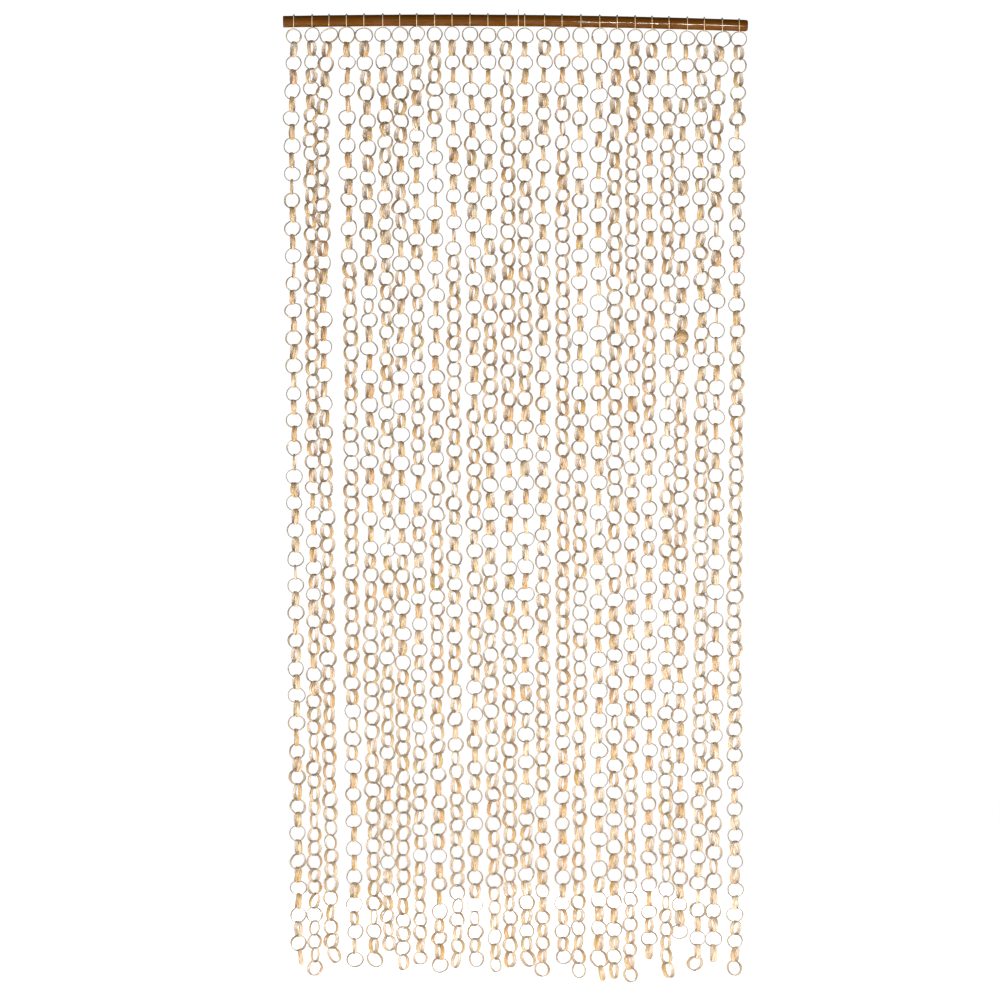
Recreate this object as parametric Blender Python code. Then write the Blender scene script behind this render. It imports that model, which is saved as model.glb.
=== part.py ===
"""A door curtain: chains of linked fibre rings, each tied by a thread loop to one varnished pole.

Lengths are in metres, +X runs along the pole, -Y is the front and +Z is up. The crown of the
hanging loop, where a nail or a hook holds the curtain, is the origin of the world.
"""

import math
from collections import namedtuple

import bmesh
import bpy
from mathutils import Matrix, Vector

MM = 0.001

# The pole is slightly bowed and hangs a little lower at its right end.
POLE_LENGTH = 960 * MM
POLE_RADIUS = 12 * MM
POLE_BOW = 6.4 * MM
POLE_TILT = 4.1 * MM
POLE_STATIONS = 8
POLE_SIDES = 12

# Shares of its radius that the pole keeps at its ends, and how far in each end is eased.
LEFT_END_SHARE = 0.96
RIGHT_END_SHARE = 0.7
POLE_END_CUT = 6 * MM

# A ring is a strip of flat fibre bent into a band.
BAND_WIDTH = 12 * MM
BAND_THICKNESS = 1.65 * MM
OPEN_RING_SIDES = 8

# The threads. LOOP_STEPS is the number of straight stretches in half a turn round the pole, and
# the hanger leaves the pole at HANGER_LEAVES above the level of its axis, on both sides.
THREAD_RADIUS = 0.8 * MM
THREAD_SIDES = 4
HANGER_RADIUS = 0.9 * MM
HANGER_X = 6 * MM
HANGER_RISE = 12 * MM
HANGER_LEAVES = math.radians(45)
LOOP_RADIUS = POLE_RADIUS + 2.2 * MM
LOOP_STEPS = 4
LOOP_FOOT = 8 * MM

# The gap that pieces in touch keep between their faces, and the one under the bowed pole.
SEAT = 0.3 * MM
POLE_SEAT = 0.6 * MM

# One chain has a ball of wound fibre in the place of a ring.
KNOT_CHAIN = 23
KNOT_LINK = 22
KNOT_RADIUS = 14 * MM
KNOT_CORE = 7 * MM
KNOT_SEGMENTS = 8
KNOT_RINGS = 6

# Millimetres. tie is the place of the thread along the pole, counted from the pole's middle. The
# chain's sideways drift from there is upper, middle, lower and foot, at the shares of its length
# in SWAY_AT. depth is how far the chain is pushed back by its neighbours, and pitch is the drop
# from one ring's centre to the next.
Chain = namedtuple("Chain", "tie upper middle lower foot depth links pitch")
SWAY_AT = (0.0, 0.11, 0.37, 0.62, 1.0)
DEPTH_REACHED = 0.07
CHAINS = (
    Chain(-458, -4, 0, 4, 10, 2, 68, 28.4),
    Chain(-420, -3, 1, 4, 6, -14, 71, 27.5),
    Chain(-385, -15, -11, -3, 4, 15, 66, 29.25),
    Chain(-349, 3, 9, 11, 17, -2, 68, 28.5),
    Chain(-313, 7, 11, 14, 21, 8, 66, 29.4),
    Chain(-274, 5, 8, 10, 11, -12, 68, 28.0),
    Chain(-239, 1, 2, 6, 7, 12, 66, 29.5),
    Chain(-204, -1, 2, 5, 8, -7, 73, 26.5),
    Chain(-167, 0, 3, 5, 10, 3, 69, 28.3),
    Chain(-131, 3, 4, 5, 12, -2, 70, 27.7),
    Chain(-94, 4, 8, 10, 10, 6, 69, 28.1),
    Chain(-57, 2, 5, 5, 15, -6, 67, 29.1),
    Chain(-20, 5, 5, 7, 9, 8, 67, 28.95),
    Chain(19, 1, 1, 2, 4, -4, 67, 28.9),
    Chain(60, -3, -3, -3, -4, 2, 72, 27.2),
    Chain(96, 1, 2, 2, 1, -3, 70, 27.6),
    Chain(135, -2, -2, -1, -5, 5, 69, 28.4),
    Chain(174, -3, -2, -3, -1, -8, 64, 30.7),
    Chain(210, -5, -4, -6, -6, 9, 69, 28.4),
    Chain(247, -6, -6, -8, -11, -6, 75, 26.2),
    Chain(282, -5, -6, -6, -6, 3, 69, 27.8),
    Chain(317, -4, -3, -6, -7, -10, 70, 27.9),
    Chain(355, -9, -12, -14, -15, 13, 67, 28.0),
    Chain(390, -8, -6, -8, -14, -9, 70, 27.7),
    Chain(427, -12, -11, -14, -18, 11, 64, 30.0),
    Chain(462, -5, -5, -10, -8, -4, 71, 27.4),
)

# Degrees. How far each chain is wound about its own length, at even steps from its second ring
# down to its foot. Neighbouring chains wind opposite ways.
Twist = namedtuple("Twist", "top second third half fifth sixth foot")
TWISTS = (
    Twist(15, 0, 10, 5, 15, 20, 15),
    Twist(10, 50, 40, 0, 30, 40, 20),
    Twist(15, 45, 0, 35, 40, 50, 55),
    Twist(0, 0, 40, 45, 60, 80, 70),
    Twist(15, 25, 15, 15, 50, 60, 60),
    Twist(15, 20, 25, 20, 25, 70, 55),
    Twist(10, 20, 10, 15, 30, 35, 35),
    Twist(15, 10, 30, 20, 20, 25, 35),
    Twist(40, 85, 90, 65, 35, 15, 25),
    Twist(10, 0, 50, 65, 70, 60, 20),
    Twist(15, 15, 15, 30, 20, 20, 25),
    Twist(10, 0, 40, 20, 25, 35, 30),
    Twist(25, 50, 30, 0, 35, 45, 50),
    Twist(0, 25, 45, 0, 10, 20, 35),
    Twist(15, 15, 15, 15, 35, 65, 65),
    Twist(5, 35, 40, 60, 50, 75, 65),
    Twist(0, 0, 0, 30, 50, 50, 45),
    Twist(10, 5, 5, 15, 5, 15, 25),
    Twist(0, 30, 30, 60, 75, 70, 70),
    Twist(20, 40, 15, 20, 15, 40, 35),
    Twist(20, 0, 40, 80, 80, 80, 70),
    Twist(0, 45, 5, 15, 5, 55, 40),
    Twist(0, 5, 20, 40, 20, 10, 15),
    Twist(20, 20, 20, 45, 30, 75, 75),
    Twist(15, 15, 5, 10, 0, 20, 10),
    Twist(30, 15, 20, 50, 40, 15, 25),
)

QUADRANTS = ((1, 1), (-1, 1), (-1, -1), (1, -1))


def clear_scene():
    for thing in list(bpy.data.objects):
        bpy.data.objects.remove(thing, do_unlink=True)


def make_collection(name):
    collection = bpy.data.collections.new(name)
    bpy.context.scene.collection.children.link(collection)
    return collection


def make_material(name, colour, roughness):
    material = bpy.data.materials.new(name)
    material.use_nodes = True
    shader = material.node_tree.nodes["Principled BSDF"]
    shader.inputs["Base Color"].default_value = (*colour, 1.0)
    shader.inputs["Roughness"].default_value = roughness
    shader.inputs["Metallic"].default_value = 0.0
    return material


def add_object(name, data, collection, parent, material):
    data.materials.append(material)
    thing = bpy.data.objects.new(name, data)
    thing.parent = parent
    collection.objects.link(thing)
    return thing


def pole_height(x):
    """The height of the pole's axis at x, above its height at the middle."""
    share = x / (POLE_LENGTH / 2)
    return -POLE_BOW * share**2 - POLE_TILT * share


def eased(values, places, share):
    """The value at a share of the length, read from a row of values with soft turns between them."""
    share = min(max(share, places[0]), places[-1])
    step = max(i for i in range(len(places) - 1) if places[i] <= share)
    part = (share - places[step]) / (places[step + 1] - places[step])
    soft = part * part * (3 - 2 * part)
    return values[step] + (values[step + 1] - values[step]) * soft


def ring_radii(chain):
    """The inner and outer radius of a ring whose bands rest corner on corner at this pitch."""
    inner = math.hypot(chain.pitch * MM / 2, BAND_WIDTH / 2)
    return inner, inner + BAND_THICKNESS


def ring_centre(chain, link):
    """The centre of a ring, counted from 0 at the pole."""
    share = link / (chain.links - 1)
    sway = (0, chain.upper, chain.middle, chain.lower, chain.foot)
    depth = eased((0, chain.depth, chain.depth), (0.0, DEPTH_REACHED, 1.0), share)
    tie = chain.tie * MM
    hang = POLE_RADIUS + POLE_SEAT + ring_radii(chain)[1] + link * chain.pitch * MM
    return Vector((tie + eased(sway, SWAY_AT, share) * MM, depth * MM, pole_height(tie) - hang))


def wind(number, link):
    """The angle that a chain is wound to at a ring."""
    row = TWISTS[number - 1]
    places = [i / (len(row) - 1) for i in range(len(row))]
    share = link / (CHAINS[number - 1].links - 1)
    turn = 1 if number % 2 else -1
    return turn * math.radians(eased(row, places, share))


def section(centre, angle, half_x, half_y):
    """Four corners of a level rectangle, wound to an angle, one in each quadrant."""
    turned = Matrix.Rotation(angle, 3, "Z")
    return [centre + turned @ Vector((x * half_x, y * half_y, 0)) for x, y in QUADRANTS]


def bridge(bm, upper, lower):
    """Four faces between two rows of corners, facing out."""
    for i in range(4):
        j = (i + 1) % 4
        bm.faces.new((upper[j], upper[i], lower[i], lower[j]))


def add_open_ring(bm, centre, inner, outer):
    """The topmost ring, open for its thread. Returns the corners of its lowest outside face."""
    step = 2 * math.pi / OPEN_RING_SIDES
    flat = 1 / math.cos(step / 2)
    rows = []
    for radius, y in ((outer, -1), (outer, 1), (inner, 1), (inner, -1)):
        row = []
        for i in range(OPEN_RING_SIDES):
            angle = (i + 0.5) * step
            arm = Vector((math.cos(angle), 0, math.sin(angle))) * radius * flat
            row.append(bm.verts.new(centre + arm + Vector((0, y * BAND_WIDTH / 2, 0))))
        rows.append(row)
    lowest = 3 * OPEN_RING_SIDES // 4 - 1
    for side in range(4):
        near, far = rows[side], rows[(side + 1) % 4]
        for i in range(OPEN_RING_SIDES):
            j = (i + 1) % OPEN_RING_SIDES
            if (side, i) != (0, lowest):
                bm.faces.new((near[i], near[j], far[j], far[i]))
    front, back = rows[0], rows[1]
    return [back[lowest + 1], back[lowest], front[lowest], front[lowest + 1]]


def chain_mesh(number, chain):
    """One closed solid: an open ring, then a four-sided strand with a level section at each ring.

    Rings face front and side in turn, so the sections are wide and narrow in turn.
    """
    inner, outer = ring_radii(chain)
    facet = outer * math.tan(math.pi / OPEN_RING_SIDES)
    bm = bmesh.new()
    above = add_open_ring(bm, ring_centre(chain, 0), inner, outer)
    for link in range(1, chain.links):
        wide, narrow = outer, BAND_WIDTH / 2
        if (number, link) == (KNOT_CHAIN, KNOT_LINK):
            wide = narrow = KNOT_CORE
        halves = (narrow, wide) if link % 2 else (wide, narrow)
        corners = section(ring_centre(chain, link), wind(number, link), *halves)
        below = [bm.verts.new(corner) for corner in corners]
        bridge(bm, above, below)
        above = below
    last = chain.links - 1
    halves = (BAND_WIDTH / 2, facet) if last % 2 else (facet, BAND_WIDTH / 2)
    foot = ring_centre(chain, last) - Vector((0, 0, outer))
    below = [bm.verts.new(corner) for corner in section(foot, wind(number, last), *halves)]
    bridge(bm, above, below)
    bm.faces.new(list(reversed(below)))
    bmesh.ops.recalc_face_normals(bm, faces=bm.faces)
    mesh = bpy.data.meshes.new(f"strand_{number:02d}")
    bm.to_mesh(mesh)
    bm.free()
    return mesh


def add_knot(strand, chain, cutters):
    """A ball of wound fibre, joined to its chain where it hangs in the place of a ring."""
    bm = bmesh.new()
    sizes = {"u_segments": KNOT_SEGMENTS, "v_segments": KNOT_RINGS, "radius": KNOT_RADIUS}
    bmesh.ops.create_uvsphere(bm, **sizes)
    mesh = bpy.data.meshes.new("knot_form")
    bm.to_mesh(mesh)
    bm.free()
    knot = bpy.data.objects.new("knot_form", mesh)
    knot.location = ring_centre(chain, KNOT_LINK)
    knot.parent = strand.parent
    knot.hide_render = True
    knot.display_type = "WIRE"
    cutters.objects.link(knot)
    joined = strand.modifiers.new("knot", "BOOLEAN")
    joined.operation = "UNION"
    joined.solver = "EXACT"
    joined.object = knot


def wire(name, points, radius, sides, cyclic=False):
    """A curve with a round bevel through points of (place, share of the radius)."""
    curve = bpy.data.curves.new(name, "CURVE")
    curve.dimensions = "3D"
    curve.bevel_depth = radius
    curve.bevel_resolution = (sides - 4) // 2
    curve.use_fill_caps = True
    spline = curve.splines.new("POLY")
    spline.points.add(len(points) - 1)
    spline.use_cyclic_u = cyclic
    for point, (place, share) in zip(spline.points, points):
        point.co = (*place, 1.0)
        point.radius = share
    return curve


def pole_curve():
    """The pole, cut square at its left end and rounded over at its right end."""
    half = POLE_LENGTH / 2
    inside = half - POLE_END_CUT
    left, right = pole_height(-half), pole_height(half)
    points = [(Vector((-half, 0, left)), LEFT_END_SHARE), (Vector((-inside, 0, left)), 1.0)]
    for i in range(1, POLE_STATIONS):
        x = -inside + 2 * inside * i / POLE_STATIONS
        points.append((Vector((x, 0, pole_height(x))), 1.0))
    points.append((Vector((inside, 0, right)), 1.0))
    points.append((Vector((half, 0, right)), RIGHT_END_SHARE))
    return wire("rod", points, POLE_RADIUS, POLE_SIDES)


def tie_curve(number, chain):
    """A thread over the pole and under the top of the first ring's band."""
    x = chain.tie * MM
    axis = pole_height(x)
    low = ring_centre(chain, 0).z + ring_radii(chain)[0] - SEAT - THREAD_RADIUS
    points = []
    for i in range(LOOP_STEPS + 1):
        angle = math.pi * i / LOOP_STEPS
        across = LOOP_RADIUS * math.cos(angle)
        points.append((Vector((x, across, axis + LOOP_RADIUS * math.sin(angle))), 1.0))
    points.append((Vector((x, -LOOP_FOOT, low)), 1.0))
    points.append((Vector((x, LOOP_FOOT, low)), 1.0))
    return wire(f"tie_{number:02d}", points, THREAD_RADIUS, THREAD_SIDES, cyclic=True)


def crown_height():
    """The height of the hanging loop's crown above the middle of the pole's axis."""
    return pole_height(HANGER_X) + POLE_RADIUS + HANGER_RISE


def hanger_curve():
    """A thread loop under the pole that peaks above it, for a nail or a hook."""
    axis = pole_height(HANGER_X)
    crown = crown_height() - HANGER_RADIUS
    points = [(Vector((HANGER_X, 0, crown)), 1.0)]
    reach = math.pi + 2 * HANGER_LEAVES
    steps = round(LOOP_STEPS * reach / math.pi)
    for i in range(steps + 1):
        angle = HANGER_LEAVES - reach * i / steps
        across = LOOP_RADIUS * math.cos(angle)
        points.append((Vector((HANGER_X, across, axis + LOOP_RADIUS * math.sin(angle))), 1.0))
    return wire("hanger", points, HANGER_RADIUS, THREAD_SIDES, cyclic=True)


def build():
    clear_scene()
    curtain = make_collection("fibre_curtain")
    cutters = make_collection("helpers")
    cutters.hide_render = True
    frame = bpy.data.objects.new("curtain_frame", None)
    frame.location = (-HANGER_X, 0, -crown_height())
    curtain.objects.link(frame)

    varnish = make_material("varnished_wood", (0.16, 0.055, 0.012), 0.22)
    cotton = make_material("cotton_thread", (0.78, 0.68, 0.50), 0.85)
    fibre = make_material("fibre_band", (0.66, 0.40, 0.15), 0.55)

    add_object("rod", pole_curve(), curtain, frame, varnish)
    add_object("hanger", hanger_curve(), curtain, frame, cotton)
    for number, chain in enumerate(CHAINS, start=1):
        name = f"strand_{number:02d}"
        strand = add_object(name, chain_mesh(number, chain), curtain, frame, fibre)
        add_object(f"tie_{number:02d}", tie_curve(number, chain), curtain, frame, cotton)
        if number == KNOT_CHAIN:
            add_knot(strand, chain, cutters)


build()
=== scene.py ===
# %% [markdown]
# # A door curtain of fibre rings
#
# The real curtain is a varnished pole with twenty-six long chains tied to it. Each chain is made
# of paper-thin strips of dry plant fibre, wound three times round into a ring and linked through
# the ring above. The frame that this script loads has the pole, the threads and one plain solid
# for each chain. This script keeps every place and size of that frame and gives it the looks:
# ring by ring, strip by strip and fibre by fibre.

# %% Load the frame
import math
from collections import namedtuple

import bpy
import numpy as np
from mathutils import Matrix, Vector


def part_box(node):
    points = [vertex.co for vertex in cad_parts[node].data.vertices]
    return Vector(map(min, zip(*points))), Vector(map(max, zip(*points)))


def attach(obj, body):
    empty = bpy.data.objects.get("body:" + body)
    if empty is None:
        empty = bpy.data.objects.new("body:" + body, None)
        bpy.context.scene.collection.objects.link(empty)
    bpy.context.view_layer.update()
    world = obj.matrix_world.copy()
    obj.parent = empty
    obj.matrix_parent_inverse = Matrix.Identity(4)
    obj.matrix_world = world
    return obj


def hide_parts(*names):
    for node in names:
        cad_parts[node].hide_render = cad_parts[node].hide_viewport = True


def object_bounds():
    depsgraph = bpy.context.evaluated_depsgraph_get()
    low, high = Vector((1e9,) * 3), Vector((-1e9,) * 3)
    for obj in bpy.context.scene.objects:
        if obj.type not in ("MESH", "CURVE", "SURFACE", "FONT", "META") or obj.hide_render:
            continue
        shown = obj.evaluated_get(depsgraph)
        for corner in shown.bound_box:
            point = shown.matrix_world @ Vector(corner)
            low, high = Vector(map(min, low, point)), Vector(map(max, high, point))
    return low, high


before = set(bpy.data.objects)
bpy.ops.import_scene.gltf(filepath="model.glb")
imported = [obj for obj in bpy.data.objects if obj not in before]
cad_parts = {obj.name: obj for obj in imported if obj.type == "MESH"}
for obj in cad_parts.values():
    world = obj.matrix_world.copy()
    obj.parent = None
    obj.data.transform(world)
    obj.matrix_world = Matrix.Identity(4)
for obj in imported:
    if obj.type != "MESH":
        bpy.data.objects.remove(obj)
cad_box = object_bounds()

MM = 0.001
RIGHTWARD, BACKWARD, UPWARD = np.eye(3)
print(f"{len(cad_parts)} nodes, {(cad_box[1] - cad_box[0]).z:.3f} m from crown to foot")

# %% [markdown]
# ## One way to skin everything
#
# Strips, threads and the pole are all the same kind of shape: a small outline carried along a
# line. Blender's curve bevel makes such shapes too, but then each point's place on its strip,
# which the materials read, would have to be worked out again from the finished mesh. So a short
# helper places the outline at each station of a path, and another joins the outlines with faces.
# Working in numpy arrays keeps 1,784 rings quick to build.

# %% Carry an outline along a path
def unit(vectors):
    return vectors / np.linalg.norm(vectors, axis=-1, keepdims=True)


def carry(path, outward, outline, closed=False):
    """Corners of an outline at each station of a path.

    outline holds (outward, sideways) pairs, going round from outward to sideways.
    """
    if closed:
        along = np.roll(path, -1, axis=0) - np.roll(path, 1, axis=0)
    else:
        along = np.gradient(path, axis=0)
    along = unit(along)
    lift = np.broadcast_to(outward, path.shape)
    lift = unit(lift - along * np.sum(lift * along, axis=1, keepdims=True))
    sideways = np.cross(along, lift)
    return path[:, None] + lift[:, None] * outline[..., :1] + sideways[:, None] * outline[..., 1:]


# %% Join the outlines with faces
def quads_between(stations, corners, closed):
    """Corner numbers of the faces of one skinned run, with both ends filled unless it is a loop."""
    station = np.arange(stations if closed else stations - 1)[:, None]
    corner = np.arange(corners)[None, :]
    after = (station + 1) % stations * corners
    here = station * corners
    turn = (corner + 1) % corners
    sides = np.stack([here + corner, here + turn, after + turn, after + corner], axis=-1)
    sides = sides.reshape(-1, 4)
    if closed:
        return sides
    fan = np.array([(0, i, i + 1, i + 2) for i in range(1, corners - 1, 2)])
    return np.vstack([sides, fan[:, ::-1], (stations - 1) * corners + fan])


def skin(name, runs, loops=()):
    """One mesh from loops and open runs, each an array of stations by corners by 3."""
    points, faces, start = [], [], 0
    for run, closed in [(loop, True) for loop in loops] + [(run, False) for run in runs]:
        faces.append(quads_between(*run.shape[:2], closed) + start)
        points.append(run.reshape(-1, 3))
        start += len(points[-1])
    points, faces = np.concatenate(points), np.concatenate(faces)
    mesh = bpy.data.meshes.new(name)
    mesh.vertices.add(len(points))
    mesh.vertices.foreach_set("co", points.astype(np.float32).ravel())
    mesh.loops.add(faces.size)
    mesh.loops.foreach_set("vertex_index", faces.astype(np.int32).ravel())
    mesh.polygons.add(len(faces))
    mesh.polygons.foreach_set("loop_start", np.arange(0, faces.size, 4, dtype=np.int32))
    mesh.update(calc_edges=True)
    mesh.validate()
    return mesh


# %% Note a value at each point, and set the piece in the scene
def note(mesh, name, values):
    """Keeps a number or a vector at each point for the materials to read."""
    vector = values.ndim == 2
    kind, field = ("FLOAT_VECTOR", "vector") if vector else ("FLOAT", "value")
    layer = mesh.attributes.new(name, kind, "POINT")
    layer.data.foreach_set(field, values.astype(np.float32).ravel())


def place(name, mesh, material, slot, *nodes, crease=30):
    """Shows a mesh as a piece of the curtain that stands for the given nodes."""
    mesh.shade_smooth()
    mesh.set_sharp_from_angle(angle=math.radians(crease))
    mesh.materials.append(material)
    piece = bpy.data.objects.new(name, mesh)
    bpy.context.scene.collection.objects.link(piece)
    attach(piece, "root")
    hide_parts(*nodes)
    return piece


# %% [markdown]
# ## Grain and uneven tone, shared by the materials
#
# Plant fibre and wood both show fine lines that run with the growth, and every natural material
# here is paler in one place than in another. A picture texture could show both, but it would
# repeat and would need a file. Two node groups make them instead. "Long grain" stretches noise
# along one direction, and "Uneven tone" shades a colour by slow, soft noise. Each material places
# them with its own values.

# %% Small helpers for nodes
def add_node(tree, kind, **values):
    """A node with some of its settings and unlinked inputs set by name."""
    node = tree.nodes.new(kind)
    for key, value in values.items():
        name = key.replace("_", " ").title()
        if name in node.inputs:
            node.inputs[name].default_value = value
        else:
            setattr(node, key, value)
    return node


def maths(tree, operation, *inputs):
    """A Math node fed by sockets or by numbers. Returns its output."""
    node = tree.nodes.new("ShaderNodeMath")
    node.operation = operation
    for socket, value in zip(node.inputs, inputs):
        if isinstance(value, bpy.types.NodeSocket):
            tree.links.new(value, socket)
        else:
            socket.default_value = value
    return node.outputs[0]


# Where a Mix node that mixes colours has its sockets.
MIX_SHARE, MIX_FIRST, MIX_SECOND, MIX_RESULT = 0, 6, 7, 2


def blend_colours(tree, share, first, second):
    """A Mix node for colours. Each argument is a socket or a plain value."""
    node = tree.nodes.new("ShaderNodeMix")
    node.data_type = "RGBA"
    for index, value in ((MIX_SHARE, share), (MIX_FIRST, first), (MIX_SECOND, second)):
        if isinstance(value, bpy.types.NodeSocket):
            tree.links.new(value, node.inputs[index])
        elif index == MIX_SHARE:
            node.inputs[index].default_value = value
        else:
            node.inputs[index].default_value = (*value, 1.0)
    return node.outputs[MIX_RESULT]


def start_group(name, inputs, outputs):
    """A shader group with named sockets. Returns it with its input and output nodes."""
    group = bpy.data.node_groups.new(name, "ShaderNodeTree")
    for title, kind, default in inputs:
        socket = group.interface.new_socket(title, in_out="INPUT", socket_type=kind)
        if default is not None:
            socket.default_value = default
    for title, kind in outputs:
        group.interface.new_socket(title, in_out="OUTPUT", socket_type=kind)
    return group, group.nodes.new("NodeGroupInput"), group.nodes.new("NodeGroupOutput")


# %% The long grain group
FINE_SHARE = 0.35


def build_long_grain():
    """Streaks that run along X of the given vector, coarse ones with fine ones in them."""
    group, given, result = start_group(
        "Long grain",
        [
            ("Vector", "NodeSocketVector", None),
            ("Along", "NodeSocketFloat", 60.0),
            ("Across", "NodeSocketFloat", 900.0),
        ],
        [("Streak", "NodeSocketFloat"), ("Height", "NodeSocketFloat")],
    )
    stretch = add_node(group, "ShaderNodeCombineXYZ")
    group.links.new(given.outputs["Along"], stretch.inputs["X"])
    group.links.new(given.outputs["Across"], stretch.inputs["Y"])
    group.links.new(given.outputs["Across"], stretch.inputs["Z"])
    scaled = add_node(group, "ShaderNodeVectorMath", operation="MULTIPLY")
    group.links.new(given.outputs["Vector"], scaled.inputs[0])
    group.links.new(stretch.outputs[0], scaled.inputs[1])
    coarse = add_node(group, "ShaderNodeTexNoise", scale=1.0, detail=2.0, roughness=0.55)
    fine = add_node(group, "ShaderNodeTexNoise", scale=3.1, detail=1.0, roughness=0.5)
    for noise in (coarse, fine):
        group.links.new(scaled.outputs[0], noise.inputs["Vector"])
    mixed = maths(group, "MULTIPLY_ADD", fine.outputs["Fac"], FINE_SHARE, -FINE_SHARE / 2)
    mixed = maths(group, "ADD", coarse.outputs["Fac"], mixed)
    spread = add_node(group, "ShaderNodeMapRange", from_min=0.3, from_max=0.7)
    group.links.new(mixed, spread.inputs["Value"])
    group.links.new(spread.outputs[0], result.inputs["Streak"])
    group.links.new(mixed, result.inputs["Height"])
    return group


long_grain = build_long_grain()
print("group:", long_grain.name, [s.name for s in long_grain.interface.items_tree])


# %% The uneven tone group
# The noise seldom strays more than a quarter from its middle. This makes Amount the usual swing.
PATCH_GAIN = 4.0


def build_uneven_tone():
    """A colour made lighter and darker in soft patches."""
    group, given, result = start_group(
        "Uneven tone",
        [
            ("Color", "NodeSocketColor", None),
            ("Vector", "NodeSocketVector", None),
            ("Patches", "NodeSocketFloat", 40.0),
            ("Amount", "NodeSocketFloat", 0.2),
        ],
        [("Color", "NodeSocketColor"), ("Patch", "NodeSocketFloat")],
    )
    noise = add_node(group, "ShaderNodeTexNoise", detail=3.0, roughness=0.6)
    group.links.new(given.outputs["Vector"], noise.inputs["Vector"])
    group.links.new(given.outputs["Patches"], noise.inputs["Scale"])
    centred = maths(group, "SUBTRACT", noise.outputs["Fac"], 0.5)
    swing = maths(group, "MULTIPLY", centred, given.outputs["Amount"])
    gain = maths(group, "MULTIPLY_ADD", swing, PATCH_GAIN, 1.0)
    shaded = add_node(group, "ShaderNodeVectorMath", operation="SCALE")
    group.links.new(given.outputs["Color"], shaded.inputs[0])
    group.links.new(gain, shaded.inputs["Scale"])
    group.links.new(shaded.outputs[0], result.inputs["Color"])
    group.links.new(noise.outputs["Fac"], result.inputs["Patch"])
    return group


uneven_tone = build_uneven_tone()
print("group:", uneven_tone.name, [s.name for s in uneven_tone.interface.items_tree])


# %% Start a material, and place a group in it
def start_material(name, **values):
    """A material with a Principled shader, whose plain values are set on its own sockets."""
    material = bpy.data.materials.new(name)
    material.use_nodes = True
    tree = material.node_tree
    shader = tree.nodes["Principled BSDF"]
    for key, value in values.items():
        shader.inputs[key.replace("_", " ").title().replace("Ior", "IOR")].default_value = value
    return material, tree, shader


def place_group(tree, group, **inputs):
    """The group as a node, with its inputs linked to sockets or set to values."""
    node = tree.nodes.new("ShaderNodeGroup")
    node.node_tree = group
    for key, value in inputs.items():
        socket = node.inputs[key.title()]
        if isinstance(value, bpy.types.NodeSocket):
            tree.links.new(value, socket)
        else:
            socket.default_value = value
    return node


def noted(tree, name, output="Fac"):
    """Reads what note() kept at the points."""
    return add_node(tree, "ShaderNodeAttribute", attribute_name=name).outputs[output]


def raise_relief(tree, shader, height, strength, distance):
    """Feeds a height into the shader's normal."""
    bump = add_node(tree, "ShaderNodeBump", strength=strength, distance=distance)
    tree.links.new(height, bump.inputs["Height"])
    tree.links.new(bump.outputs[0], shader.inputs["Normal"])


# %% [markdown]
# ## The fibre
#
# The strips are peeled plant fibre, dry and satin. They run from olive gold through straw to
# orange brown, and no two rings match. A strip is pale along its middle, dark along its two
# borders and dull grey on its cut edges: partly their own colour, partly painted shade of the gaps
# where the turns lie on each other. Those borders draw the crossings that one sees. Its inner side
# is bare pith, almost white, so a ring that is turned shows one golden arm and one pale one, and
# long pale streaks in both are painted highlights. Painting each ring by hand would take a material
# each, so every ring carries two numbers instead, its depth and its warmth, and one material
# mixes its colour from them. The strip's own coordinates, along and across, guide the streaks and
# borders, so that they follow each turn round the ring.

# %% The fibre's colours, in linear light
STRAW = (0.80, 0.69, 0.50)
OLIVE_GOLD = (0.53, 0.36, 0.10)
ORANGE_BROWN = (0.64, 0.35, 0.13)
# Dark streaks of the grain, and along the borders also painted shade of the gaps between turns.
DARK_GRAIN_AND_SHADE = (0.40, 0.175, 0.015)
# Painted highlight: near-white streaks that stand in for the gloss on the fibre.
PAINTED_HIGHLIGHT = (0.93, 0.89, 0.82)
# The cut edges' own dull grey, made darker as painted shade of the gaps between layers.
CUT_EDGE_SHADE = (0.34, 0.31, 0.262)
PITH = (0.92, 0.88, 0.81)

# %% The fibre material
STRIP_WIDTH, STRIP_THICKNESS = 5.2 * MM, 0.68 * MM
CROWN, GRAIN_RELIEF = -0.55, 0.3
FIBRE_RELIEF = 0.5 * MM

# How sharply the pale streaks, which are painted highlights, and the dark streaks stand out, and
# how much of their colour they take.
HIGHLIGHT_CURVE, HIGHLIGHT_SHARE = 1.8, 0.72
DARK_CURVE, DARK_SHARE = 1.6, 0.6

# How dark the borders are, partly their own colour and partly painted shade of the gaps between
# turns, and how much darker where a dark streak meets them.
SEAM_SHADE_SHARE, SEAM_SHADE_STREAK = 0.52, 0.6
PITH_SHARE, CUT_SHADE_SHARE = 0.4, 0.95
ROUGHNESS, STREAK_POLISH = 0.58, -0.16


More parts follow.
